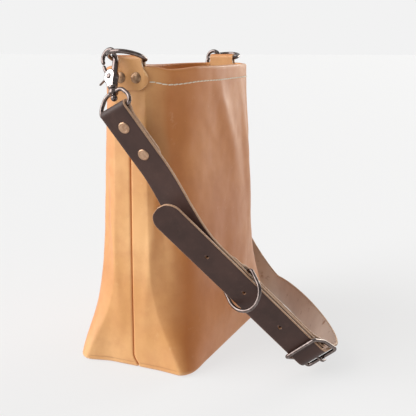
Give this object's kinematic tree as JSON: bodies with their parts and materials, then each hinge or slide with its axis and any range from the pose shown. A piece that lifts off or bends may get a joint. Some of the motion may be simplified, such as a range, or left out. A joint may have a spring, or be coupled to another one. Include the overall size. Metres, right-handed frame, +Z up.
{
  "type": "sling bag",
  "caption": "Open-top leather sling bag with D-rings at the mouth and a riveted buckle strap that clips on by trigger snap hooks.",
  "frame": {"origin": "centre of the bag's base, on the floor", "axes": "+X along the mouth towards the right end, the front panel faces -Y, +Z up from the base to the mouth"},
  "size_m": [0.31, 0.2684, 0.3301],
  "materials": {
    "bag_leather": "smooth vegetable-tanned leather, lightly waxed",
    "strap_leather": "dark bridle leather, semi-gloss grain side, raw flesh side, tan cut edges",
    "thread": "waxed thread",
    "hardware": "polished dark gunmetal plating, rubbed at the edges",
    "rivet_metal": "antique brass, satin",
    "spring_steel": "bright spring steel"
  },
  "bodies": {
    "root": {"front_panel": "bag_leather", "back_panel": "bag_leather", "hem_thread": "thread", "side_seam_thread": "thread", "base_seam_thread": "thread", "left_tab": "bag_leather", "right_tab": "bag_leather", "tab_rivets": "rivet_metal", "tab_rivet_caps": "rivet_metal"},
    "left_ring": {"left_d_ring": "hardware"},
    "right_ring": {"right_d_ring": "hardware"},
    "strap": {"short_strap": "strap_leather", "long_strap": "strap_leather", "strap_rivets": "rivet_metal", "strap_rivet_caps": "rivet_metal"},
    "left_eye": {"left_snap_eye": "hardware"},
    "left_hook": {"left_snap_hook": "hardware", "left_snap_pin": "hardware", "left_snap_spring": "spring_steel"},
    "left_trigger": {"left_snap_trigger": "hardware"},
    "right_eye": {"right_snap_eye": "hardware"},
    "right_hook": {"right_snap_hook": "hardware", "right_snap_pin": "hardware", "right_snap_spring": "spring_steel"},
    "right_trigger": {"right_snap_trigger": "hardware"},
    "buckle": {"buckle_frame": "hardware"},
    "prong": {"buckle_prong": "hardware"},
    "keeper": {"keeper_ring": "hardware"}
  },
  "joints": [
    {"name": "strap_swing", "type": "hinge", "parent": "root", "child": "strap", "pos_m": [-0.12679, 0.0171, 0.32218], "axis": [-1, 0, 0.0065], "range_deg": [0, 12]},
    {"name": "left_ring_hinge", "type": "hinge", "parent": "root", "child": "left_ring", "pos_m": [-0.1153, 0, 0.318], "axis": [0, 1, 0], "range_deg": [-12, 0]},
    {"name": "right_ring_hinge", "type": "hinge", "parent": "root", "child": "right_ring", "pos_m": [0.1153, 0, 0.318], "axis": [0, -1, 0], "range_deg": [-12, 0]},
    {"name": "left_eye_hinge", "type": "hinge", "parent": "strap", "child": "left_eye", "pos_m": [-0.15143, -0.00451, 0.2718], "axis": [-0.1373, -0.8883, 0.4383], "range_deg": [-0.8, 0.4]},
    {"name": "right_eye_hinge", "type": "hinge", "parent": "strap", "child": "right_eye", "pos_m": [0.12726, 0.0176, 0.26044], "axis": [0, 1, 0], "range_deg": [-0.4, 0.4]},
    {"name": "left_snap_swivel", "type": "hinge", "parent": "left_eye", "child": "left_hook", "pos_m": [-0.15143, -0.00451, 0.2718], "axis": [0.4089, 0.3522, 0.8419], "range_deg": [-5, 8]},
    {"name": "right_snap_swivel", "type": "hinge", "parent": "right_eye", "child": "right_hook", "pos_m": [0.12726, 0.0176, 0.26044], "axis": [0, 0, 1], "range_deg": [-6, 6]},
    {"name": "left_trigger_pivot", "type": "hinge", "parent": "left_hook", "child": "left_trigger", "pos_m": [-0.13671, 0.00817, 0.30211], "axis": [0.9022, -0.2948, -0.3148], "range_deg": [0, 22], "stiffness_Nm_per_rad": 0.02},
    {"name": "right_trigger_pivot", "type": "hinge", "parent": "right_hook", "child": "right_trigger", "pos_m": [0.12726, 0.0176, 0.29644], "axis": [-1, 0, 0], "range_deg": [0, 22], "stiffness_Nm_per_rad": 0.02},
    {"name": "buckle_hinge", "type": "hinge", "parent": "strap", "child": "buckle", "pos_m": [-0.067, -0.1755, 0.0285], "axis": [-0.0271, -0.7639, 0.6448], "range_deg": [-1.5, 1.5]},
    {"name": "prong_hinge", "type": "hinge", "parent": "buckle", "child": "prong", "pos_m": [-0.067, -0.1755, 0.0285], "axis": [0.0271, 0.7639, -0.6448], "range_deg": [0, 8]},
    {"name": "keeper_hinge", "type": "hinge", "parent": "strap", "child": "keeper", "pos_m": [-0.10243, -0.10896, 0.10584], "axis": [0.0271, 0.7639, -0.6448], "range_deg": [0, 100]}
  ]
}
